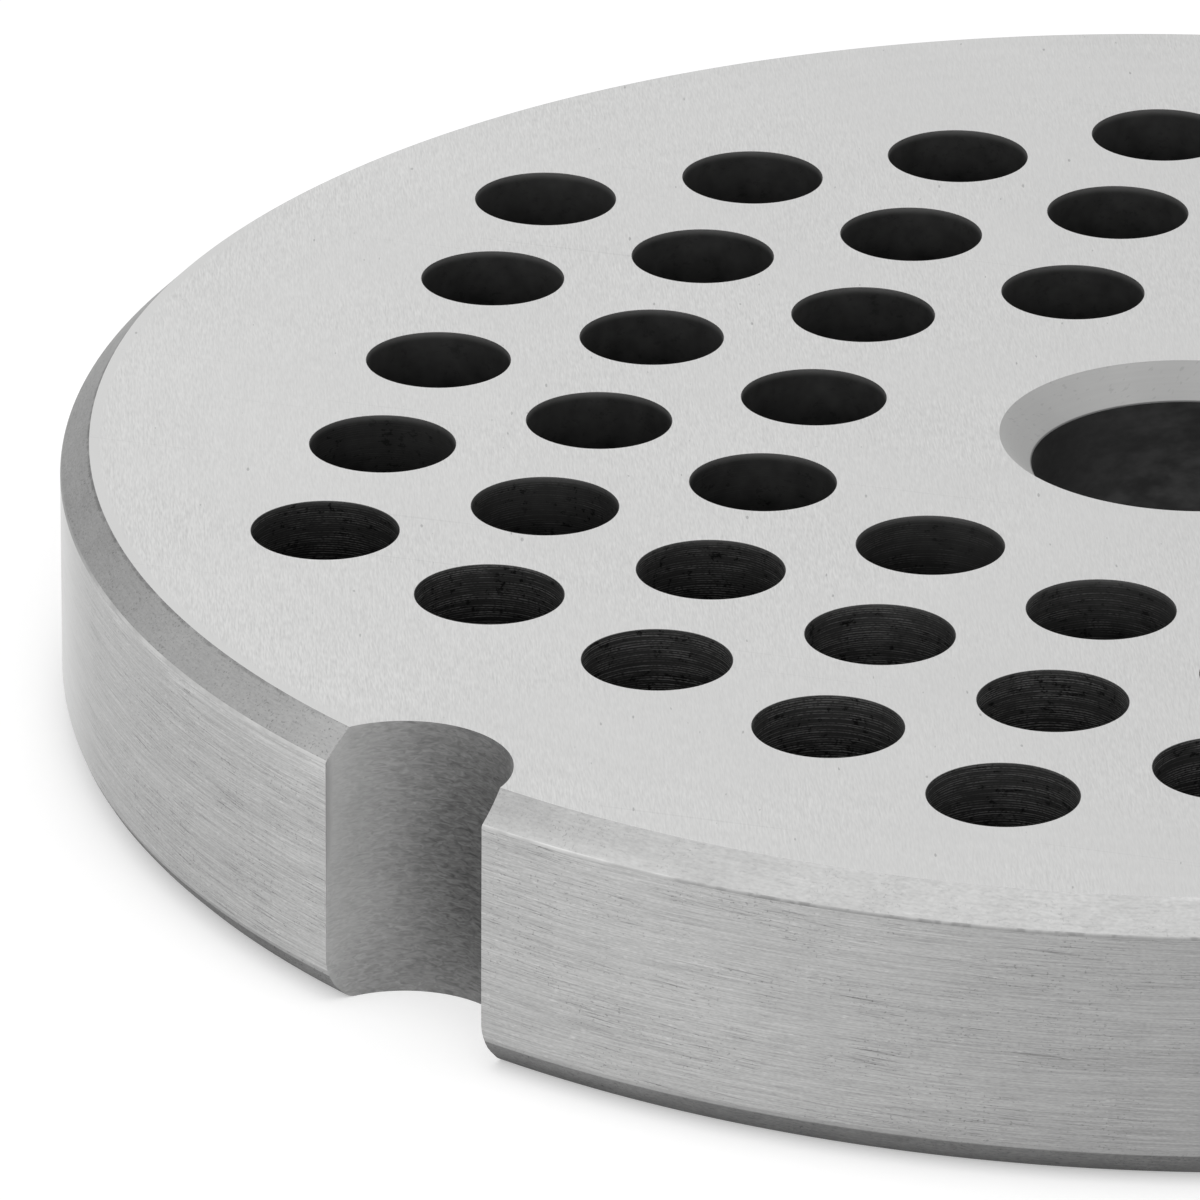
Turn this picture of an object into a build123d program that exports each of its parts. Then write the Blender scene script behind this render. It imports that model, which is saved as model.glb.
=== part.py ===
from build123d import *
from math import hypot, sqrt
import os

# Meat grinder plate: a flat round disc with a hexagonal field of mincing holes,
# a centre bore for the feed screw's stud and one half-round notch in its rim
# that a peg in the grinder's barrel holds against turning.
# Frame: +Z up, origin at the middle of the lower face on the bore's axis. The
# rows of holes run along X and the notch opens towards -Y.

# Disc, in millimetres
plate_diameter = 70.0
plate_thickness = 8.8
rim_chamfer = 0.9

# Centre bore, countersunk at 45 degrees from both faces
bore_diameter = 10.0
bore_countersink = 1.0

# Mincing holes, on a hexagonal grid centred on the bore
hole_diameter = 4.5
hole_web = 2.45
bore_margin = 2.5
rim_margin = 3.0

# Locating notch
notch_width = 6.4
notch_depth = 3.4

# Sizes that follow
plate_radius = plate_diameter / 2
face_radius = plate_radius - rim_chamfer
bore_radius = bore_diameter / 2
bore_mouth_radius = bore_radius + bore_countersink
hole_radius = hole_diameter / 2
hole_pitch = hole_diameter + hole_web
row_spacing = hole_pitch * sqrt(3) / 2
nearest_hole = bore_mouth_radius + bore_margin + hole_radius
farthest_hole = face_radius - rim_margin - hole_radius
notch_radius = notch_width / 2
notch_centre = plate_radius - notch_depth + notch_radius


def turned_disc():
    """The disc as it comes off the lathe: rim chamfered and bore countersunk."""
    with BuildPart() as disc:
        with BuildSketch(Plane.XZ):
            with BuildLine():
                Polyline(
                    (bore_mouth_radius, 0),
                    (face_radius, 0),
                    (plate_radius, rim_chamfer),
                    (plate_radius, plate_thickness - rim_chamfer),
                    (face_radius, plate_thickness),
                    (bore_mouth_radius, plate_thickness),
                    (bore_radius, plate_thickness - bore_countersink),
                    (bore_radius, bore_countersink),
                    close=True,
                )
            make_face()
        revolve(axis=Axis.Z)
    return disc.part


def hole_centres():
    """Grid points whose holes keep their margins to the bore and to the rim."""
    reach = int(plate_radius / row_spacing)
    centres = []
    for row in range(-reach, reach + 1):
        for column in range(-2 * reach, 2 * reach + 1):
            x = (column + row / 2) * hole_pitch
            y = row * row_spacing
            if nearest_hole <= hypot(x, y) <= farthest_hole:
                centres.append((x, y))
    return centres


def notch_cutter():
    """A slot with a round end, running out through the rim."""
    with BuildPart() as cutter:
        with BuildSketch():
            with Locations((0, -notch_centre)):
                Circle(notch_radius)
                Rectangle(notch_width, plate_radius, align=(Align.CENTER, Align.MAX))
        extrude(amount=plate_thickness)
    return cutter.part


with BuildPart() as grinder_plate:
    add(turned_disc())
    with BuildSketch():
        with Locations(*hole_centres()):
            Circle(hole_radius)
    extrude(amount=plate_thickness, mode=Mode.SUBTRACT)
    add(notch_cutter(), mode=Mode.SUBTRACT)

os.makedirs("parts", exist_ok=True)
export_step(grinder_plate.part, "parts/grinder_plate.step")
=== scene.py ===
"""A meat grinder plate on a pale floor, ready to render."""

import logging
from abc import ABC, abstractmethod
from dataclasses import dataclass, field
from enum import Enum
from math import cos, hypot, pi, radians, sin, sqrt
from typing import Any, Callable, Iterable, TypeAlias

import bpy
from mathutils import Matrix, Vector


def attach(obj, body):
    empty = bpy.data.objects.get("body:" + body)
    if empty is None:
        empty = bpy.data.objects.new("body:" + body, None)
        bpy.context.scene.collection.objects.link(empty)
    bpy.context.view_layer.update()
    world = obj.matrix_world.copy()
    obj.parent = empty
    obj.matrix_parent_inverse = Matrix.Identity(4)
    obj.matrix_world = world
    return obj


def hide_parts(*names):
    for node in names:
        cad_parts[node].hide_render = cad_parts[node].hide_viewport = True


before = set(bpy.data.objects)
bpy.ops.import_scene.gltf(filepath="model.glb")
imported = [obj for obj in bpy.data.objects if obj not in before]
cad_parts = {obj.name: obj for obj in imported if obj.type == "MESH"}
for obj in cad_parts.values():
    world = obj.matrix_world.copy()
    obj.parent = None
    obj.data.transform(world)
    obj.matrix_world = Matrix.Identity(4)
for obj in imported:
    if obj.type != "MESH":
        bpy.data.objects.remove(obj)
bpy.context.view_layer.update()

log = logging.getLogger("grinder_plate")

MM = 0.001
RADIUS = 35.0 * MM
THICKNESS = 8.8 * MM
CHAMFER = 0.9 * MM
BORE_RADIUS = 5.0 * MM
COUNTERSINK = 1.0 * MM
NOTCH_RADIUS = 3.2 * MM
NOTCH_DEPTH = 3.4 * MM
FACE_RADIUS = RADIUS - CHAMFER

# The ground face and the countersink carry a painted sheen that fades slowly towards this azimuth, in
# degrees from X.
SHEEN_AZIMUTH = 45.0
SHEEN_SLOPE = 0.004 / MM

# The size of a face's normal along Z, from 0 for an upright face to 1 for a flat one.
UPRIGHT = 0.1
UPRIGHT_ABOVE = 0.05
UPRIGHT_BELOW = 0.3
EDGE_TILT = 0.68
FLAT = 0.999
SIDEWAYS = 0.5

# The Mix node's colour sockets by number, because its sockets share their names.
MIX_LOW, MIX_HIGH, MIX_RESULT = 6, 7, 2

Colour = tuple[float, float, float]
Triple = tuple[float, float, float]
Span = tuple[float, float]
Term: TypeAlias = "Reading | float"


class Region(Enum):
    """The surfaces of the plate that are finished apart, by material slot."""

    FACE = 0
    CHAMFER = 1
    RIM = 2
    NOTCH = 3
    HOLE = 4
    BORE = 5
    COUNTERSINK = 6
    EDGE = 7
    LIP = 8


@dataclass(frozen=True)
class Patch:
    """A stretch around the plate that is paler than the rest, or darker if its lift is below 0. Most
    patches paint light or shade on one side of the plate.

    The lift is whole up to near degrees from the azimuth and gone at far degrees.
    """

    azimuth: float
    near: float
    far: float
    lift: float


# ---------------------------------------------------------------- shader maths


class Reading:
    """A number that varies over a surface, worked on with Python's operators."""

    def __init__(self, bench: "Bench", socket: bpy.types.NodeSocket) -> None:
        """Wraps a socket of the bench's node tree."""
        self.bench = bench
        self.socket = socket

    def _with(self, operation: str, *values: Term) -> "Reading":
        """Adds one Math node.

        Args:
            operation: The Math node's operation.
            values: Its inputs in order, readings or numbers.

        Returns:
            The node's result.
        """
        node = self.bench.place("ShaderNodeMath", {"operation": operation}, dict(enumerate(values)))
        return Reading(self.bench, node.outputs[0])

    def __add__(self, other: Term) -> "Reading":
        """Sum."""
        return self._with("ADD", self, other)

    def __radd__(self, other: Term) -> "Reading":
        """Reflected sum."""
        return self._with("ADD", other, self)

    def __sub__(self, other: Term) -> "Reading":
        """Difference."""
        return self._with("SUBTRACT", self, other)

    def __rsub__(self, other: Term) -> "Reading":
        """Reflected difference."""
        return self._with("SUBTRACT", other, self)

    def __mul__(self, other: Term) -> "Reading":
        """Product."""
        return self._with("MULTIPLY", self, other)

    def __rmul__(self, other: Term) -> "Reading":
        """Reflected product."""
        return self._with("MULTIPLY", other, self)

    def __truediv__(self, other: Term) -> "Reading":
        """Quotient."""
        return self._with("DIVIDE", self, other)

    def power(self, exponent: float) -> "Reading":
        """Raises to a power."""
        return self._with("POWER", self, exponent)

    def at_least(self, limit: Term) -> "Reading":
        """The larger of this and a limit."""
        return self._with("MAXIMUM", self, limit)

    def wave(self) -> "Reading":
        """Its sine."""
        return self._with("SINE", self)

    def ramp(self, start: float, end: float) -> "Reading":
        """A smooth step.

        Args:
            start: Where the step leaves 0.
            end: Where it reaches 1. It may be below start.

        Returns:
            0 before start, 1 past end, and a smooth rise between them.
        """
        low, high = min(start, end), max(start, end)
        node = self.bench.place(
            "ShaderNodeMapRange",
            {"interpolation_type": "SMOOTHSTEP"},
            {"Value": self, "From Min": low, "From Max": high},
        )
        step = Reading(self.bench, node.outputs["Result"])
        return step if end >= start else 1 - step


@dataclass
class Bench:
    """A node tree with one way of placing nodes on it."""

    tree: bpy.types.NodeTree

    def place(
        self,
        kind: str,
        settings: dict[str, Any] | None = None,
        inputs: dict[str | int, Any] | None = None,
    ) -> bpy.types.Node:
        """Adds a node.

        Args:
            kind: The node's type name.
            settings: Its own properties, set first.
            inputs: Socket names or numbers, each with a value, a socket or a reading.

        Returns:
            The node.
        """
        node = self.tree.nodes.new(kind)
        for name, value in (settings or {}).items():
            setattr(node, name, value)
        for name, value in (inputs or {}).items():
            self.feed(node.inputs[name], value)
        return node

    def feed(self, socket: bpy.types.NodeSocket, value: Any) -> None:
        """Links a socket or reading into a socket, or sets a plain value on it.

        Args:
            socket: The input socket.
            value: A reading, an output socket, or a plain value.
        """
        source = value.socket if isinstance(value, Reading) else value
        if isinstance(source, bpy.types.NodeSocket):
            self.tree.links.new(source, socket)
        else:
            socket.default_value = source

    def grid(self, pitch: Triple, turn: float = 0.0, tilt: float = 0.0) -> bpy.types.NodeSocket:
        """Object coordinates turned about Z and divided into cells.

        Args:
            pitch: The cell's size along each turned axis, in metres.
            turn: The first axis's direction, in degrees from X.
            tilt: How far the cells lean about that axis, in degrees.

        Returns:
            The vector socket.
        """
        place = self.place("ShaderNodeTexCoord").outputs["Object"]
        inputs = {"Vector": place, "Rotation": (radians(tilt), 0, radians(turn)), "Scale": pitch}
        return self.place("ShaderNodeMapping", {"vector_type": "TEXTURE"}, inputs).outputs["Vector"]

    def noise(
        self,
        pitch: Triple,
        turn: float = 0.0,
        detail: float = 2.0,
        rough: float = 0.5,
        bend: float = 0.0,
        tilt: float = 0.0,
    ) -> Reading:
        """Cloudy noise from 0 to 1, about 0.5 on average.

        Args:
            pitch: The size of a lump along each axis, in metres.
            turn: The first axis's direction, in degrees from X.
            detail: Octaves of finer lumps.
            rough: How strong each finer octave is.
            bend: Distortion.
            tilt: How far the lumps lean about their first axis, in degrees.

        Returns:
            The noise.
        """
        inputs = {
            "Vector": self.grid(pitch, turn, tilt),
            "Scale": 1.0,
            "Detail": detail,
            "Roughness": rough,
            "Distortion": bend,
        }
        return Reading(self, self.place("ShaderNodeTexNoise", {}, inputs).outputs["Fac"])

    def lumps(self, size: float, detail: float, rough: float = 0.5, turn: float = 0.0) -> Reading:
        """Noise in round lumps of one size."""
        return self.noise((size,) * 3, turn, detail, rough)

    def strips(
        self,
        length: float,
        width: float,
        detail: float,
        rough: float = 0.5,
        turn: float = 0.0,
    ) -> Reading:
        """Noise in level strips, of one length along X and Y and narrow in height."""
        return self.noise((length, length, width), turn, detail, rough)

    def sheen(self, level: float) -> Reading:
        """A level of paleness with a painted sheen that falls slowly towards SHEEN_AZIMUTH."""
        return level - self.towards(SHEEN_AZIMUTH) * SHEEN_SLOPE

    def radius(self) -> Reading:
        """Measures how far a point is from the plate's axis.

        Returns:
            The distance, in metres.
        """
        place = self.place("ShaderNodeTexCoord").outputs["Object"]
        flat = self.place("ShaderNodeVectorMath", {"operation": "MULTIPLY"}, {0: place, 1: (1, 1, 0)})
        length = self.place("ShaderNodeVectorMath", {"operation": "LENGTH"}, {0: flat.outputs["Vector"]})
        return Reading(self, length.outputs["Value"])

    def towards(self, azimuth: float) -> Reading:
        """Measures how far a point is from the plate's axis in one direction.

        Args:
            azimuth: The direction, in degrees from X.

        Returns:
            The distance, in metres.
        """
        place = self.place("ShaderNodeTexCoord").outputs["Object"]
        way = (cos(radians(azimuth)), sin(radians(azimuth)), 0)
        dot = self.place("ShaderNodeVectorMath", {"operation": "DOT_PRODUCT"}, {0: place, 1: way})
        return Reading(self, dot.outputs["Value"])

    def patches(self, patches: Iterable[Patch]) -> Term:
        """Adds up the lift of patches around the plate.

        Args:
            patches: The patches.

        Returns:
            Their summed lift, or 0 where there are none.
        """
        total: Term = 0.0
        for patch in patches:
            cosine = self.towards(patch.azimuth) / self.radius()
            total = cosine.ramp(cos(radians(patch.far)), cos(radians(patch.near))) * patch.lift + total
        return total

    def along(self, axis: str) -> Reading:
        """Reads one object coordinate.

        Args:
            axis: X, Y or Z.

        Returns:
            The coordinate, in metres.
        """
        place = self.place("ShaderNodeTexCoord").outputs["Object"]
        split = self.place("ShaderNodeSeparateXYZ", {}, {0: place})
        return Reading(self, split.outputs[axis])

    def blend(self, low: Colour, high: Colour, share: Reading) -> bpy.types.NodeSocket:
        """Mixes two colours.

        Args:
            low: The colour where the share is 0.
            high: The colour where the share is 1.
            share: How much of the high colour there is.

        Returns:
            The mixed colour's socket.
        """
        node = self.place(
            "ShaderNodeMix",
            {"data_type": "RGBA", "clamp_factor": True},
            {0: share, MIX_LOW: (*low, 1), MIX_HIGH: (*high, 1)},
        )
        return node.outputs[MIX_RESULT]


# -------------------------------------------------------------------- finishes


@dataclass(frozen=True)
class Finish(ABC):
    """How one surface of the plate is finished.

    tone is the steel's pale colour and shade what dark marks fall to. matt is its roughness
    where it is pale, depth the height of its relief in metres, and level how pale the surface
    is before its marks, from 0 (shade) to 1 (tone).
    """

    name: str
    tone: Colour
    shade: Colour
    matt: float = 0.38
    depth: float = 1.0e-6
    metal: float = 1.0
    level: float = 0.5

    @abstractmethod
    def pale(self, bench: Bench) -> Reading:
        """How pale the surface is, from 0 (shade) to 1 (tone)."""

    def relief(self, bench: Bench) -> Reading:
        """Height of the surface, in units of depth."""
        return bench.lumps(0.2 * MM, 2)

    def roughness(self, bench: Bench, pale: Reading) -> Reading:
        """Roughness, a little higher where the surface is dark."""
        return self.matt + (1 - pale) * 0.15

    def material(self) -> bpy.types.Material:
        """Builds the material.

        Returns:
            The finished material.
        """
        stuff = bpy.data.materials.new(self.name)
        stuff.use_nodes = True
        bench = Bench(stuff.node_tree)
        shader = stuff.node_tree.nodes["Principled BSDF"]
        pale = self.pale(bench)
        bump = bench.place(
            "ShaderNodeBump",
            {},
            {"Height": self.relief(bench), "Distance": self.depth, "Strength": 1.0},
        )
        bench.feed(shader.inputs["Base Color"], bench.blend(self.shade, self.tone, pale))
        bench.feed(shader.inputs["Roughness"], self.roughness(bench, pale))
        bench.feed(shader.inputs["Normal"], bump.outputs["Normal"])
        shader.inputs["Metallic"].default_value = self.metal
        stuff.diffuse_color = (*self.tone, 1)
        return stuff


@dataclass(frozen=True)
class GroundFace(Finish):
    """A face ground flat and lapped, with short strokes, a calm border and a few tiny nicks."""

    level: float = 0.745
    grind: float = 135.0
    margin: Span = (FACE_RADIUS - 0.45 * MM, FACE_RADIUS - 0.2 * MM)
    ring_pitch: float = 1.3 * MM
    ringed: Span = (26.0 * MM, 31.0 * MM)
    outer: Span = (29.5 * MM, 32.0 * MM)
    calm: tuple[Patch, ...] = (Patch(-130, 28, 42, 1.0),)
    worn: tuple[Patch, ...] = (Patch(-140, 30, 80, 0.14),)

    def strokes(self, bench: Bench) -> Reading:
        """The short strokes that the stone leaves.

        Args:
            bench: The material's bench.

        Returns:
            The strokes, about 0.5 on average.
        """
        long = bench.noise((0.75 * MM, 0.06 * MM, 1 * MM), self.grind, 1, 0.5, 0.3)
        short = bench.noise((0.36 * MM, 0.045 * MM, 1 * MM), self.grind + 3, 0, 0.5, 0.2)
        return long * 0.5 + short * 0.5

    def pale(self, bench: Bench) -> Reading:
        """Strokes, faint turning rings near the rim, soft clouds and tiny nicks, over a painted sheen.

        Args:
            bench: The material's bench.

        Returns:
            The paleness.
        """
        radius = bench.radius()
        rings = (radius * (2 * pi / self.ring_pitch)).wave() * radius.ramp(*self.ringed)
        clouds = bench.lumps(6 * MM, 3)
        worn = bench.patches(self.worn) * (1 + radius.ramp(*self.outer) * 1.5)
        patchy = 0.32 + bench.lumps(7 * MM, 1, turn=30).ramp(0.35, 0.65) * 0.3 + worn
        nicks = bench.noise((0.55 * MM, 0.16 * MM, 1 * MM), self.grind, 0).ramp(0.84, 0.87)
        scratches = bench.noise((16 * MM, 0.12 * MM, 1 * MM), self.grind - 108, 0, 0, 0.4).ramp(0.8, 0.84)
        calm = radius.ramp(*self.margin) * bench.patches(self.calm)
        grain = (self.strokes(bench) - 0.5) * patchy * (1 - calm)
        marks = nicks * 0.5 + scratches * 0.1 + calm * 0.03
        # bench.sheen paints a sheen that fades towards SHEEN_AZIMUTH.
        return bench.sheen(self.level) + grain + (clouds - 0.5) * 0.1 + rings * 0.01 - marks

    def relief(self, bench: Bench) -> Reading:
        """Strokes only."""
        return self.strokes(bench)


@dataclass(frozen=True)
class TurnedChamfer(Finish):
    """A chamfer with fine pits and faint marks along the circumference, painted light and shade around
    it, a painted line and glow near its edges, and painted shade on the lower chamfer.
    """

    level: float = 0.73
    # Height below which the lower chamfer is darkened with painted shade.
    shaded_foot: float = CHAMFER + 0.05 * MM
    border: float = FACE_RADIUS
    shoulder: Span = (FACE_RADIUS + 0.4 * MM, FACE_RADIUS + 0.9 * MM)
    # Painted light and shade around the chamfer: shade at -140 degrees, light at -62 degrees and a narrow
    # strip of light at -95 degrees.
    sides: tuple[Patch, ...] = (
        Patch(-140, 8, 32, -0.16),
        Patch(-62, 12, 24, 0.045),
        Patch(-95, 1, 5, 0.1),
    )
    pitted: tuple[Patch, ...] = (Patch(-115, 20, 42, 0.3),)
    # Painted shade and painted highlight in a ragged line along the face's border: shade at -125 degrees,
    # highlight at -40 degrees.
    painted_edge_line: tuple[Patch, ...] = (Patch(-125, 20, 32, -0.24), Patch(-40, 5, 11, 0.26))
    # Painted highlight: a soft glow on the outer part of the chamfer, just right of the notch.
    painted_highlight: tuple[Patch, ...] = (Patch(-81, 3, 9, 0.16),)

    def pits(self, bench: Bench) -> Reading:
        """Fine dark pits, closer on one side.

        Args:
            bench: The material's bench.

        Returns:
            The pits' depth.
        """
        fine = bench.lumps(0.07 * MM, 0)
        patch = bench.lumps(1.6 * MM, 2).ramp(0.4, 0.65)
        return fine.ramp(0.66, 0.78) * (patch * 0.3 + bench.patches(self.pitted))

    def pale(self, bench: Bench) -> Reading:
        """Mottled grey with pits and short light marks, over painted light and shade.

        Args:
            bench: The material's bench.

        Returns:
            The paleness.
        """
        mottle = bench.lumps(0.6 * MM, 2, 0.6)
        grain = bench.strips(0.16 * MM, 0.05 * MM, 1)
        marks = bench.strips(1.6 * MM, 0.05 * MM, 1)
        smudges = bench.strips(0.4 * MM, 0.1 * MM, 2, 0.7).ramp(0.6, 0.72)
        # Painted shade: the lower chamfer is darker, and darker still towards its bottom.
        shaded_foot = bench.along("Z").ramp(self.shaded_foot, self.shaded_foot - 0.06 * MM)
        shade_below = bench.along("Z").ramp(self.shaded_foot, 0)
        radius = bench.radius()
        ragged = bench.lumps(0.5 * MM, 3, 0.7)
        # A ragged painted line along the border with the face, shade on one side and highlight on the
        # other.
        reach = radius - self.border - ragged * 0.14 * MM
        painted_edge_line = reach.ramp(0.02 * MM, -0.03 * MM) * ragged.ramp(0.3, 0.6) * bench.patches(self.painted_edge_line)
        glow = radius.ramp(*self.shoulder) * bench.patches(self.painted_highlight)
        clouds = bench.strips(2.4 * MM, 1.2 * MM, 2)
        worn = (mottle - 0.5) * 0.12 + (grain - 0.5) * 0.26 + (marks - 0.5) * 0.14 - smudges * 0.1
        worn = worn + (clouds - 0.5) * 0.12
        # The pits together with the lower chamfer's painted shade.
        pits_and_shade = self.pits(bench) * 0.5 + shaded_foot * 0.445 + shade_below * 0.16
        # sides adds the painted light and shade around the chamfer.
        return self.level + worn + painted_edge_line + glow + bench.patches(self.sides) - pits_and_shade

    def relief(self, bench: Bench) -> Reading:
        """Pits and mottle."""
        return bench.lumps(0.12 * MM, 1) - self.pits(bench)


@dataclass(frozen=True)
class BrushedRim(Finish):
    """A rim brushed along its circumference, with fine dark streaks and specks."""

    level: float = 0.7
    height: float = THICKNESS
    # Heights between which the rim's upper part carries a painted highlight.
    highlight_from: float = THICKNESS - 1.7 * MM
    highlight_to: float = THICKNESS - 0.95 * MM
    # Painted light and shade around the rim: shade at -25 and -112 degrees, light at -150 degrees.
    sides: tuple[Patch, ...] = (
        Patch(-25, 14, 50, -0.27),
        Patch(-150, 8, 31, 0.34),
        Patch(-112, 0, 16, -0.08),
    )
    smooth: tuple[Patch, ...] = (Patch(-150, 20, 36, 0.7), Patch(-30, 15, 40, 0.3))
    # Painted highlight on the rim's upper part at -106 degrees.
    painted_highlight: tuple[Patch, ...] = (Patch(-106, 8, 16, 0.2),)

    def streaks(self, bench: Bench) -> Reading:
        """Thin streaks of several lengths, down to specks.

        Args:
            bench: The material's bench.

        Returns:
            The streaks, about 0.5 on average.
        """
        long = bench.strips(3.6 * MM, 0.04 * MM, 1, 0.6)
        short = bench.strips(1.1 * MM, 0.036 * MM, 1, 0.5)
        specks = bench.strips(0.13 * MM, 0.036 * MM, 0)
        return long * 0.48 + short * 0.3 + specks * 0.22

    def pale(self, bench: Bench) -> Reading:
        """Streaks, dark scratches and dots, broad bands, painted light and shade on its sides, painted
        shade towards its bottom and a painted highlight near its top.

        Args:
            bench: The material's bench.

        Returns:
            The paleness.
        """
        scratches = bench.noise((2.2 * MM, 2.2 * MM, 0.036 * MM), -80, 0, tilt=-4).ramp(0.68, 0.76)
        dashes = bench.strips(0.8 * MM, 0.034 * MM, 0, turn=40).ramp(0.69, 0.78)
        dots = bench.strips(0.09 * MM, 0.06 * MM, 0).ramp(0.7, 0.78)
        light = bench.strips(0.3 * MM, 0.05 * MM, 0, turn=70).ramp(0.72, 0.8)
        bands = bench.strips(9 * MM, 1.2 * MM, 3)
        patch = bench.strips(2.4 * MM, 1.2 * MM, 1).ramp(0.35, 0.6)
        marks = (scratches * 0.24 + dashes * 0.22 + dots * 0.26) * patch - light * 0.15
        detail = (self.streaks(bench) - 0.5) * 1.15 - marks
        # Painted shade, darker towards the rim's bottom.
        low = 1 - bench.along("Z") / self.height
        # Painted highlight on the rim's upper part, broken into patches.
        painted_highlight = bench.along("Z").ramp(self.highlight_from, self.highlight_to) * patch
        # shine sums the painted light and shade of the sides and the painted highlight.
        shine = bench.patches(self.sides) + painted_highlight * bench.patches(self.painted_highlight)
        broad = (bands - 0.5) * 0.13 - low * 0.07 + shine
        return self.level + detail * (1 - bench.patches(self.smooth)) + broad

    def relief(self, bench: Bench) -> Reading:
        """Streaks only."""
        return self.streaks(bench)


@dataclass(frozen=True)
class MilledNotch(Finish):
    """A milled wall, mottled with short wavy strokes, with painted light that is palest at its mouth and
    painted shade further in.
    """

    level: float = 0.094
    floor: float = RADIUS - NOTCH_DEPTH
    reach: float = NOTCH_RADIUS
    height: float = THICKNESS
    # Heights of the painted light on the mouth's upper part, the painted shade at its top and the painted
    # shade at its bottom.
    brow: Span = (2.0 * MM, 6.0 * MM)
    top: Span = (6.5 * MM, 9.0 * MM)
    shaded_foot: Span = (3.0 * MM, 0.0)

    def ripple(self, bench: Bench) -> Reading:
        """Short wavy strokes across the wall."""
        return bench.noise((0.34 * MM, 0.34 * MM, 0.11 * MM), 0, 1, 0.5, 1.3)

    def pale(self, bench: Bench) -> Reading:
        """Ripple and soft clouds over painted light and shade, palest towards the mouth.

        Args:
            bench: The material's bench.

        Returns:
            The paleness.
        """
        # Painted light and shade: the wall is palest at the mouth and darker further in, with more light
        # and shade set by height.
        mouth = (bench.along("Y") * -1 - self.floor).at_least(0) / self.reach
        clouds = bench.lumps(1.2 * MM, 2)
        rise = bench.along("Z") / self.height * 2 - 1
        inner = (1 - mouth) * (rise * rise * 0.094 + 0.016)
        brow = bench.along("Z").ramp(*self.brow) * mouth.power(6) * 0.55
        top = bench.along("Z").ramp(*self.top) * mouth * 0.06
        shaded_foot = bench.along("Z").ramp(*self.shaded_foot) * mouth.power(1.5) * 0.3
        wall = self.level + mouth.power(1.25) * 0.6 + inner + brow - top - shaded_foot
        return wall + (self.ripple(bench) - 0.5) * (wall * 0.1 + 0.2) + (clouds - 0.5) * wall * 0.2

    def relief(self, bench: Bench) -> Reading:
        """Ripple only."""
        return self.ripple(bench)


@dataclass(frozen=True)
class DrilledWall(Finish):
    """A drilled wall darkened with painted shade, with the drill's rings and black spots, smoother on the
    far side.
    """

    level: float = 0.17
    height: float = THICKNESS
    feed_mark: float = 0.075 * MM
    marked_azimuth: float = -70.0
    marked: Span = (4.0 * MM, 22.0 * MM)
    # Depth of the painted light at the top of the wall, and the depths over which painted shade grows
    # further down.
    lip_depth: float = 0.32 * MM
    dusk: Span = (0.8 * MM, 2.2 * MM)
    ringed: tuple[Patch, ...] = (Patch(-60, 25, 80, 0.7),)
    # Painted shade on the holes at -125 degrees.
    sides: tuple[Patch, ...] = (Patch(-125, 12, 35, -0.05),)

    def rough(self, bench: Bench) -> Reading:
        """1 on the side where the drill left its marks, falling to 0 on the far side."""
        return bench.towards(self.marked_azimuth).ramp(*self.marked)

    def rings(self, bench: Bench) -> Reading:
        """Fine rings around the hole, uneven and broken.

        Args:
            bench: The material's bench.

        Returns:
            The rings' strength.
        """
        wobble = bench.strips(2.5 * MM, 0.4 * MM, 1)
        line = (bench.along("Z") * (2 * pi / self.feed_mark) + wobble * 9).wave() * 0.5 + 0.5
        fine = bench.strips(4 * MM, 0.05 * MM, 1, 0.6)
        specks = bench.strips(0.09 * MM, 0.04 * MM, 0)
        broken = bench.strips(0.9 * MM, 0.35 * MM, 2)
        clear = (0.35 + broken.ramp(0.38, 0.6) * 0.65) * (0.3 + bench.patches(self.ringed))
        return line.power(2) * fine.ramp(0.3, 0.65) * specks.ramp(0.1, 0.65) * clear * self.rough(bench)

    def pale(self, bench: Bench) -> Reading:
        """Rings and black spots over a wall darkened with painted shade, with painted light near its lip
        and painted shade further down.

        Args:
            bench: The material's bench.

        Returns:
            The paleness.
        """
        rough = self.rough(bench)
        spots = bench.strips(0.3 * MM, 0.2 * MM, 3, 0.7).ramp(0.56, 0.62)
        patch = bench.lumps(0.8 * MM, 1).ramp(0.36, 0.56)
        black = spots * patch * (0.12 + rough * 0.88)
        # Painted light near the top of the wall and painted shade further down.
        lip = bench.along("Z").ramp(self.height - self.lip_depth, self.height).power(2)
        shade_below = (self.height - bench.along("Z")).ramp(*self.dusk)
        # Random tone, plus painted shade on the holes at one side.
        tint = (bench.lumps(5 * MM, 0) - 0.5) * 0.12 + bench.patches(self.sides)
        # On the far side, soft clouds and more painted light near the top of the wall.
        smooth = (1 - rough) * ((bench.lumps(0.7 * MM, 2) - 0.4) * 0.2 + lip * 0.7)
        marks = self.rings(bench) * 1.5 - black * 0.3
        return self.level + tint + smooth + marks + lip * 0.05 - shade_below * 0.12

    def relief(self, bench: Bench) -> Reading:
        """Rings only."""
        return self.rings(bench)


@dataclass(frozen=True)
class ReamedBore(Finish):
    """A smooth wall darkened with painted shade, with soft clouds and more painted shade on one side."""

    level: float = 0.58
    # Painted shade on one side of the bore.
    sides: tuple[Patch, ...] = (Patch(128, 12, 38, -0.25),)

    def pale(self, bench: Bench) -> Reading:
        """Soft clouds, with painted shade on one side."""
        clouds = bench.strips(1.5 * MM, 0.8 * MM, 3, 0.6).ramp(0.3, 0.7)
        return self.level + clouds * 0.66 + bench.patches(self.sides)

    def relief(self, bench: Bench) -> Reading:
        """Faint rings."""
        return bench.strips(5 * MM, 0.1 * MM, 2)


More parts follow.
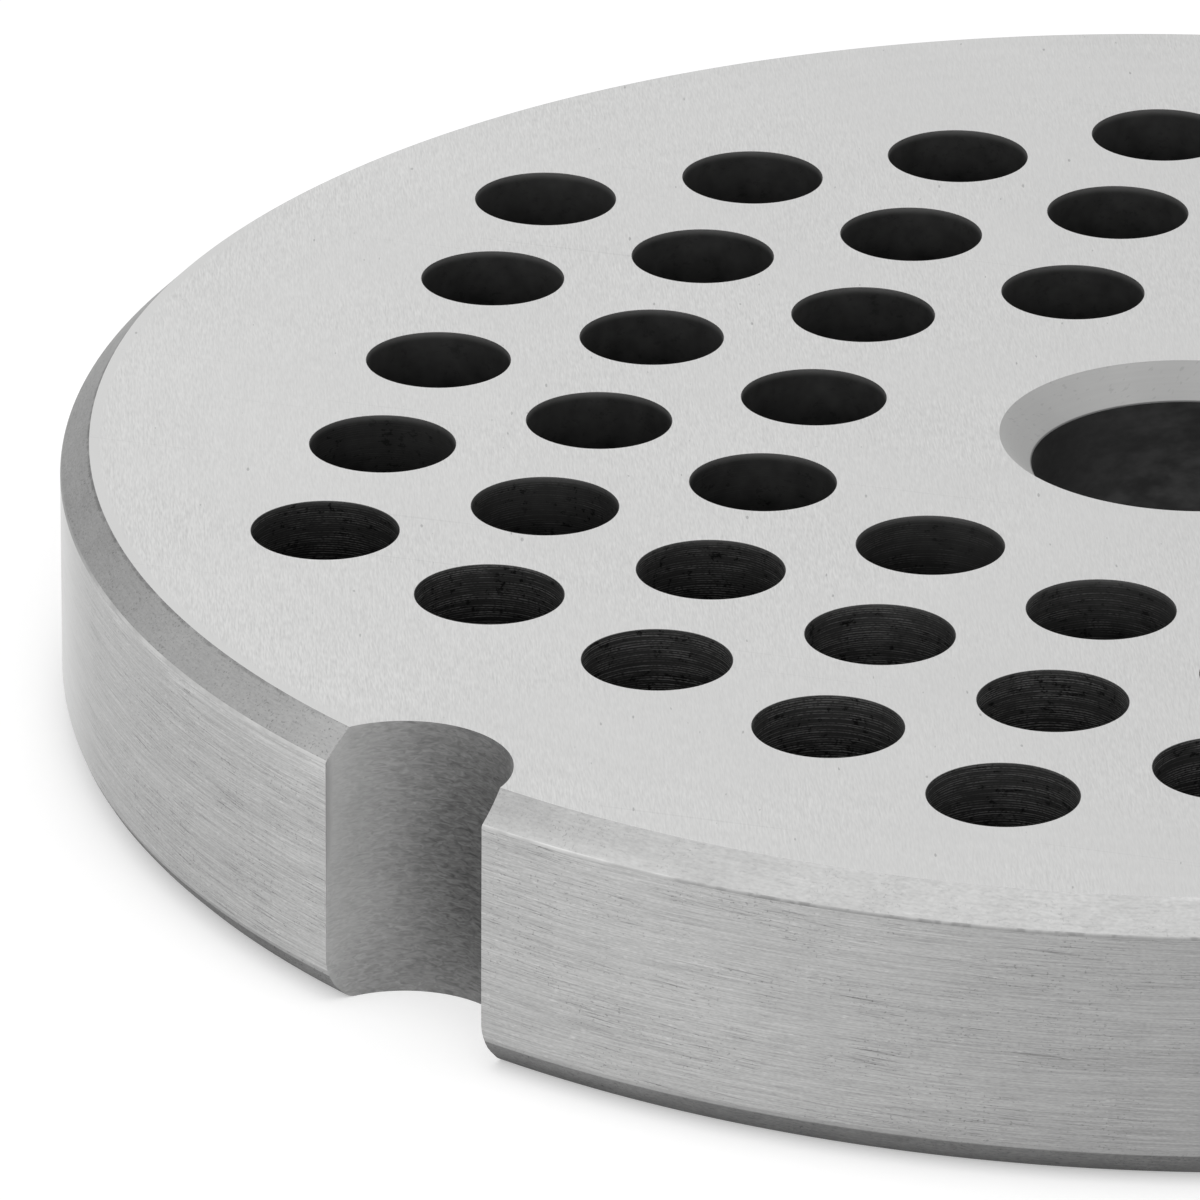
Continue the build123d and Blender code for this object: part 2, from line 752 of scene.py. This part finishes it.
@dataclass(frozen=True)
class TurnedCountersink(Finish):
    """A smooth turned cone with soft clouds, a few tiny specks, a dark line where the bore starts, a
    painted sheen and painted shade on one side.
    """

    level: float = 0.83
    bore: float = BORE_RADIUS
    line: float = 0.035 * MM
    # Painted shade on one side of the cone.
    sides: tuple[Patch, ...] = (Patch(125, 10, 32, -0.09),)

    def pale(self, bench: Bench) -> Reading:
        """Soft clouds and faint turning rings, with specks and the dark line, over a painted sheen and
        painted shade on one side.

        Args:
            bench: The material's bench.

        Returns:
            The paleness.
        """
        radius = bench.radius()
        clouds = bench.lumps(1.6 * MM, 2)
        rings = bench.strips(3 * MM, 0.06 * MM, 1)
        specks = bench.noise((0.1 * MM, 0.3 * MM, 0.3 * MM), 0, 1).ramp(0.64, 0.74)
        line = radius.ramp(self.bore + self.line * 1.5, self.bore + self.line * 0.5)
        # Painted sheen, with painted shade on one side.
        sheen = bench.sheen(self.level) + bench.patches(self.sides)
        return sheen + (clouds - 0.5) * 0.1 + (rings - 0.5) * 0.08 - specks * 0.12 - line * 0.9

    def relief(self, bench: Bench) -> Reading:
        """Faint turning rings."""
        return bench.strips(3 * MM, 0.06 * MM, 1)


@dataclass(frozen=True)
class PaintedLightAndShadeEdge(Finish):
    """An edge darkened with painted shade, with a broken painted highlight on one side and patches of
    more painted shade.
    """

    level: float = 0.4
    # Patches of painted highlight along the edge.
    painted_highlight: tuple[Patch, ...] = ()
    # Patches of painted shade along the edge, in ragged flecks.
    painted_edge_shade: tuple[Patch, ...] = ()

    def pale(self, bench: Bench) -> Reading:
        """The painted highlight on one side, broken along its length, and patches of painted shade.

        Args:
            bench: The material's bench.

        Returns:
            The paleness.
        """
        broken = 0.5 + bench.lumps(1.6 * MM, 2, 0.6).ramp(0.35, 0.65) * 0.5
        fine = bench.lumps(0.3 * MM, 2, 0.7)
        # Ragged flecks of painted shade.
        shade_flecks = bench.lumps(0.7 * MM, 2, 0.7).ramp(0.5, 0.62) * bench.patches(self.painted_edge_shade)
        return self.level + bench.patches(self.painted_highlight) * broken + (fine - 0.5) * 0.2 - shade_flecks


# One steel throughout: the chamfer's and the countersink's lower tones are painted shade, and so are the
# dark tones of the holes, their lips and the bore.
FINISHES: dict[Region, Finish] = {
    Region.FACE: GroundFace(
        "ground_face", (0.665, 0.665, 0.66), (0.3, 0.3, 0.3), matt=0.4, depth=2e-6
    ),
    Region.CHAMFER: TurnedChamfer(
        "turned_chamfer", (0.44, 0.44, 0.437), (0.06, 0.06, 0.06), matt=0.5, depth=1.5e-6
    ),
    Region.RIM: BrushedRim(
        "brushed_rim", (0.6, 0.6, 0.596), (0.16, 0.16, 0.16), matt=0.42, depth=1.5e-6
    ),
    Region.NOTCH: MilledNotch(
        "milled_notch", (0.95, 0.95, 0.944), (0.02, 0.02, 0.02), matt=0.5, depth=2e-6
    ),
    Region.HOLE: DrilledWall(
        "drilled_wall", (0.3, 0.3, 0.296), (0.012, 0.012, 0.012), matt=0.5, depth=3e-6
    ),
    Region.BORE: ReamedBore(
        "reamed_bore", (0.1, 0.1, 0.1), (0.02, 0.02, 0.02), matt=0.5, depth=2e-6
    ),
    Region.COUNTERSINK: TurnedCountersink(
        "turned_countersink", (0.467, 0.467, 0.463), (0.2, 0.2, 0.2), matt=0.75, depth=1.2e-6
    ),
    Region.LIP: PaintedLightAndShadeEdge(
        "hole_lip", (0.12, 0.12, 0.119), (0.02, 0.02, 0.02), matt=0.5, depth=1e-6
    ),
    # The edge is kept dark as painted shade, with a painted highlight and more painted shade in patches.
    Region.EDGE: PaintedLightAndShadeEdge(
        "painted_light_and_shade_edge",
        (0.6, 0.6, 0.595),
        (0.12, 0.12, 0.12),
        matt=0.45,
        depth=1e-6,
        # A broken painted highlight along the edge around the notch.
        painted_highlight=(Patch(-97, 17, 29, 0.5),),
        # Painted shade along the edge at -45 degrees.
        painted_edge_shade=(Patch(-45, 24, 34, 0.13),),
    ),
}


# ------------------------------------------------------------------- modelling


def deselect() -> None:
    """Leaves edit mode and selects nothing."""
    if bpy.context.mode != "OBJECT":
        bpy.ops.object.mode_set(mode="OBJECT")
    bpy.ops.object.select_all(action="DESELECT")


def take(piece: bpy.types.Object) -> None:
    """Makes a piece the only selected and the active one.

    Args:
        piece: The piece.
    """
    deselect()
    piece.select_set(True)
    bpy.context.view_layer.objects.active = piece


def pick(piece: bpy.types.Object, test: Callable[[Vector], bool], mode: str = "VERT") -> None:
    """Selects vertices or edges of the active piece by place, and leaves it in edit mode.

    Args:
        piece: The piece.
        test: Says if a place is picked. An edge is picked if both its ends are.
        mode: VERT or EDGE.
    """
    bpy.ops.object.mode_set(mode="EDIT")
    bpy.ops.mesh.select_mode(type=mode)
    bpy.ops.mesh.select_all(action="DESELECT")
    bpy.ops.object.mode_set(mode="OBJECT")
    for vertex in piece.data.vertices:
        vertex.select = test(vertex.co)
    if mode == "EDGE":
        chosen = {v.index for v in piece.data.vertices if v.select}
        for edge in piece.data.edges:
            edge.select = edge.vertices[0] in chosen and edge.vertices[1] in chosen
    bpy.ops.object.mode_set(mode="EDIT")


@dataclass
class GrinderPlate:
    """The whole plate: a turned disc, drilled, bored and notched."""

    radius: float = RADIUS
    thickness: float = THICKNESS
    chamfer: float = CHAMFER
    bore_radius: float = BORE_RADIUS
    countersink: float = COUNTERSINK
    hole_radius: float = 2.25 * MM
    hole_pitch: float = 6.95 * MM
    first_ring: int = 2
    last_ring: int = 4
    notch_radius: float = NOTCH_RADIUS
    notch_depth: float = NOTCH_DEPTH
    lip: float = 0.02 * MM
    rim_round: float = 0.06 * MM
    foot_round: float = 0.6 * MM
    base_round: float = 0.24 * MM
    disc_steps: int = 360
    hole_steps: int = 72
    notch_steps: int = 128
    round_steps: int = 5
    overrun: float = 1.0 * MM
    near: float = 0.01 * MM
    slack: float = 0.03 * MM
    weld: float = 0.001 * MM
    last_weld: float = 0.0005 * MM
    smooth_angle: float = 32.0
    finishes: dict[Region, Finish] = field(default_factory=lambda: dict(FINISHES))

    @property
    def face_radius(self) -> float:
        """Radius of the flat faces."""
        return self.radius - self.chamfer

    @property
    def mouth_radius(self) -> float:
        """Radius of the countersink's mouth."""
        return self.bore_radius + self.countersink

    @property
    def notch_centre(self) -> float:
        """Distance from the plate's axis to the notch's."""
        return self.radius - self.notch_depth + self.notch_radius

    def hole_centres(self) -> list[tuple[float, float]]:
        """Lists the holes that lie on the wanted rings of a hexagonal grid.

        Returns:
            Their centres.
        """
        centres = []
        reach = range(-self.last_ring, self.last_ring + 1)
        for row in reach:
            for column in reach:
                ring = max(abs(row), abs(column), abs(row + column))
                if self.first_ring <= ring <= self.last_ring:
                    across = (column + row / 2) * self.hole_pitch
                    centres.append((across, row * self.hole_pitch * sqrt(3) / 2))
        return centres

    def turned_disc(self) -> bpy.types.Object:
        """Spins the plate's section about its axis and rounds the rim's edges.

        Returns:
            The closed disc.
        """
        section = [
            (self.mouth_radius, 0.0),
            (self.face_radius, 0.0),
            (self.radius, self.chamfer),
            (self.radius, self.thickness - self.chamfer),
            (self.face_radius, self.thickness),
            (self.mouth_radius, self.thickness),
            (self.bore_radius, self.thickness - self.countersink),
            (self.bore_radius, self.countersink),
        ]
        deselect()
        bpy.ops.mesh.primitive_plane_add(size=MM)
        disc = bpy.context.object
        disc.name = "grinder_plate_body"
        bpy.ops.object.mode_set(mode="EDIT")
        bpy.ops.mesh.select_all(action="SELECT")
        bpy.ops.mesh.merge(type="CENTER")
        start = section[0]
        bpy.ops.transform.translate(value=(start[0], 0, start[1]))
        for here, there in zip(section, section[1:] + section[:1]):
            step = (there[0] - here[0], 0, there[1] - here[1])
            bpy.ops.mesh.extrude_region_move(TRANSFORM_OT_translate={"value": step})
        bpy.ops.mesh.select_all(action="SELECT")
        bpy.ops.mesh.remove_doubles(threshold=self.weld)
        bpy.ops.mesh.select_all(action="SELECT")
        bpy.ops.mesh.spin(steps=self.disc_steps, angle=2 * pi, center=(0, 0, 0), axis=(0, 0, 1))
        bpy.ops.mesh.select_all(action="SELECT")
        bpy.ops.mesh.remove_doubles(threshold=self.weld)
        bpy.ops.mesh.normals_make_consistent(inside=False)
        bpy.ops.object.mode_set(mode="OBJECT")
        self.round_ring(disc, self.radius, self.thickness - self.chamfer, self.rim_round)
        self.round_ring(disc, self.radius, self.chamfer, self.foot_round)
        self.round_ring(disc, self.face_radius, 0.0, self.base_round)
        return disc

    def round_ring(self, disc: bpy.types.Object, radius: float, height: float, size: float) -> None:
        """Rounds one ring of edges.

        Args:
            disc: The disc.
            radius: The ring's radius.
            height: The ring's height.
            size: How far the rounding reaches on each side.
        """

        def on_ring(place: Vector) -> bool:
            """Says if a place is on the ring."""
            return abs(hypot(place.x, place.y) - radius) < self.near and abs(place.z - height) < self.near

        take(disc)
        pick(disc, on_ring, "EDGE")
        bpy.ops.mesh.bevel(offset=size, segments=self.round_steps, profile=0.5, affect="EDGES")
        bpy.ops.object.mode_set(mode="OBJECT")

    def hole_cutters(self) -> bpy.types.Object:
        """Models one drill with flared ends and copies it to every hole.

        Returns:
            All the drills as one object.
        """
        deselect()
        straight = self.thickness - 2 * self.lip
        bpy.ops.mesh.primitive_cylinder_add(
            vertices=self.hole_steps,
            radius=self.hole_radius,
            depth=straight,
            location=(0, 0, self.thickness / 2),
        )
        drill = bpy.context.object
        drill.name = "drill"
        bpy.ops.object.transform_apply(location=True, rotation=True, scale=True)
        flare = self.lip + self.overrun
        grow = (self.hole_radius + flare) / self.hole_radius
        for end, lift in ((self.thickness - self.lip, flare), (self.lip, -flare)):
            pick(drill, lambda p: abs(p.z - end) < self.near)
            bpy.ops.mesh.extrude_region_move(TRANSFORM_OT_translate={"value": (0, 0, lift)})
            bpy.ops.transform.resize(value=(grow, grow, 1), center_override=(0, 0, 0))
            bpy.ops.object.mode_set(mode="OBJECT")
        drills = []
        for x, y in self.hole_centres():
            copy = bpy.data.objects.new("drill_copy", drill.data.copy())
            bpy.context.collection.objects.link(copy)
            copy.data.transform(Matrix.Translation((x, y, 0)))
            drills.append(copy)
        bpy.data.objects.remove(drill)
        deselect()
        for copy in drills:
            copy.select_set(True)
        bpy.context.view_layer.objects.active = drills[0]
        bpy.ops.object.join()
        return bpy.context.object

    def notch_cutter(self) -> bpy.types.Object:
        """Models the slot cutter: a round end with straight sides out past the rim.

        Returns:
            The cutter.
        """
        deselect()
        bpy.ops.mesh.primitive_cylinder_add(
            vertices=self.notch_steps,
            radius=self.notch_radius,
            depth=self.thickness + 2 * self.overrun,
            location=(0, -self.notch_centre, self.thickness / 2),
        )
        cutter = bpy.context.object
        cutter.name = "slot_cutter"
        bpy.ops.object.transform_apply(location=True, rotation=True, scale=True)
        pick(cutter, lambda p: p.y < -self.notch_centre - self.near)
        bpy.ops.transform.translate(value=(0, -self.notch_radius, 0))
        bpy.ops.object.mode_set(mode="OBJECT")
        return cutter

    def cut(self, body: bpy.types.Object, cutter: bpy.types.Object) -> None:
        """Cuts one piece out of another and throws the cutter away.

        Args:
            body: The piece that is cut.
            cutter: The piece that cuts it.
        """
        take(body)
        tool = body.modifiers.new("cut", "BOOLEAN")
        tool.operation = "DIFFERENCE"
        tool.solver = "EXACT"
        tool.object = cutter
        bpy.ops.object.modifier_apply(modifier=tool.name)
        bpy.data.objects.remove(cutter)

    def region_of(self, face: bpy.types.MeshPolygon) -> Region:
        """Says which surface of the plate a face belongs to.

        Args:
            face: The face.

        Returns:
            Its region.
        """
        place, tilt = face.center, abs(face.normal.z)
        out = hypot(place.x, place.y)
        upper = place.z > self.thickness / 2
        in_notch = (
            place.y < -(self.notch_centre - self.notch_radius) + self.slack
            and abs(place.x) < self.notch_radius + self.slack
            and tilt < UPRIGHT
            and (out < self.radius - 4 * self.slack or abs(face.normal.x) > SIDEWAYS)
        )
        if tilt > FLAT:
            return Region.FACE
        if in_notch:
            return Region.NOTCH
        if out < self.bore_radius + self.slack:
            return Region.BORE
        if out < self.mouth_radius + self.slack:
            return Region.COUNTERSINK
        if out < self.face_radius - self.foot_round:
            return Region.HOLE if tilt < UPRIGHT else Region.LIP
        if tilt < (UPRIGHT_ABOVE if upper else UPRIGHT_BELOW):
            return Region.RIM
        at_rim = out > self.radius - self.rim_round
        return Region.EDGE if upper and at_rim and tilt < EDGE_TILT else Region.CHAMFER

    def dress(self, body: bpy.types.Object) -> None:
        """Gives each surface its finish, and keeps the flat faces' borders sharp.

        Args:
            body: The plate.
        """
        body.data.materials.clear()
        for region in Region:
            body.data.materials.append(self.finishes[region].material())
        kinds: dict[tuple[int, int], set[bool]] = {}
        for face in body.data.polygons:
            face.material_index = self.region_of(face).value
            for key in face.edge_keys:
                kinds.setdefault(key, set()).add(face.material_index == Region.FACE.value)
        for edge in body.data.edges:
            if len(kinds[edge.key]) == 2:
                edge.use_edge_sharp = True

    def build(self) -> bpy.types.Object:
        """Models and dresses the plate.

        Returns:
            The plate.
        """
        body = self.turned_disc()
        self.cut(body, self.hole_cutters())
        self.cut(body, self.notch_cutter())
        take(body)
        bpy.ops.object.mode_set(mode="EDIT")
        bpy.ops.mesh.select_all(action="SELECT")
        bpy.ops.mesh.remove_doubles(threshold=self.last_weld)
        bpy.ops.mesh.normals_make_consistent(inside=False)
        bpy.ops.object.mode_set(mode="OBJECT")
        bpy.ops.object.shade_smooth_by_angle(angle=radians(self.smooth_angle))
        self.dress(body)
        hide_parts("grinder_plate")
        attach(body, "root")
        return body


# ---------------------------------------------------------------------- studio


@dataclass(frozen=True)
class Lamp:
    """A square soft light that points at the plate.

    azimuth is its direction from the plate, in degrees from X, and height its elevation in
    degrees. distance and size are in metres, power in watts.
    """

    name: str
    azimuth: float
    height: float
    distance: float
    size: float
    power: float

    def hang(self) -> None:
        """Hangs the light."""
        turn = Matrix.Rotation(radians(self.azimuth), 4, "Z")
        rise = Matrix.Rotation(-radians(self.height), 4, "Y")
        away = turn @ rise @ Vector((self.distance, 0, 0))
        bpy.ops.object.light_add(type="AREA", location=away)
        light = bpy.context.object
        light.name = self.name
        light.rotation_euler = (-away).to_track_quat("-Z", "Y").to_euler()
        light.data.shape = "SQUARE"
        light.data.size = self.size
        light.data.energy = self.power


@dataclass
class Studio:
    """Floor, light and camera.

    room is the strength of the room's light. floor_lift is the floor's own light as the camera
    sees it, and floor_height keeps the floor clear of the plate's lower face. eye is the
    camera's place, gaze its direction and roll its turn about that, in degrees.
    """

    key: Lamp = Lamp("key", azimuth=-75, height=68, distance=0.9, size=1.3, power=6.4)
    floor_size: float = 3.0
    floor_height: float = 0.02 * MM
    floor_tone: Colour = (0.72, 0.72, 0.72)
    floor_roughness: float = 0.9
    floor_lift: float = 0.4
    room: float = 0.45
    eye: Triple = (0.261185, -0.300886, 0.176901)
    gaze: Triple = (-0.63192, 0.66374, -0.40016)
    roll: float = 0.344
    lens: float = 419.6
    sensor: float = 36
    clip: tuple[float, float] = (0.01, 20)

    def backdrop_share(self, bench: Bench) -> Reading:
        """Tells the rays that see the backdrop itself from those that light the plate.

        Args:
            bench: The bench of the floor or the world.

        Returns:
            1 for camera, mirror and glass rays, 0 for the rest.
        """
        path = bench.place("ShaderNodeLightPath")
        seen = Reading(bench, path.outputs["Is Camera Ray"])
        seen = seen.at_least(Reading(bench, path.outputs["Is Glossy Ray"]))
        return seen.at_least(Reading(bench, path.outputs["Is Transmission Ray"]))

    def floor(self) -> bpy.types.Object:
        """Lays a pale floor that turns white where nothing shades it.

        Returns:
            The floor.
        """
        deselect()
        bpy.ops.mesh.primitive_plane_add(size=self.floor_size, location=(0, 0, self.floor_height))
        floor = bpy.context.object
        floor.name = "floor"
        paint = bpy.data.materials.new("pale_floor")
        paint.use_nodes = True
        bench = Bench(paint.node_tree)
        shader = paint.node_tree.nodes["Principled BSDF"]
        shader.inputs["Base Color"].default_value = (*self.floor_tone, 1)
        shader.inputs["Roughness"].default_value = self.floor_roughness
        shader.inputs["Specular IOR Level"].default_value = 0.0
        glow = bench.blend((0, 0, 0), (1, 1, 1), self.backdrop_share(bench))
        bench.feed(shader.inputs["Emission Color"], glow)
        shader.inputs["Emission Strength"].default_value = self.floor_lift
        floor.data.materials.append(paint)
        return floor

    def world(self) -> None:
        """A white room as the camera sees it, and a softer one as light."""
        sky = bpy.data.worlds.new("room")
        bpy.context.scene.world = sky
        sky.use_nodes = True
        bench = Bench(sky.node_tree)
        background = sky.node_tree.nodes["Background"]
        background.inputs["Color"].default_value = (1, 1, 1, 1)
        seen = self.backdrop_share(bench)
        bench.feed(background.inputs["Strength"], self.room + seen * (1 - self.room))

    def camera(self) -> None:
        """Sets the camera down."""
        deselect()
        bpy.ops.object.camera_add(location=self.eye)
        camera = bpy.context.object
        look = Vector(self.gaze).to_track_quat("-Z", "Y")
        turn = Matrix.Rotation(radians(self.roll), 4, "Z").to_quaternion()
        camera.rotation_euler = (look @ turn).to_euler()
        camera.data.lens = self.lens
        camera.data.sensor_width = self.sensor
        camera.data.clip_start, camera.data.clip_end = self.clip
        bpy.context.scene.camera = camera

    def build(self) -> None:
        """Sets up the floor, the room, the key light and the camera."""
        self.floor()
        self.world()
        self.key.hang()
        self.camera()
        bpy.context.scene.view_settings.view_transform = "Standard"


def main() -> None:
    """Builds the plate and the studio."""
    logging.basicConfig(level=logging.INFO, format="%(message)s")
    plate = GrinderPlate().build()
    log.info("plate: %d vertices, %d faces", len(plate.data.vertices), len(plate.data.polygons))
    Studio().build()
    log.info("studio: floor, room, key light and camera")


if __name__ == "__main__":
    main()
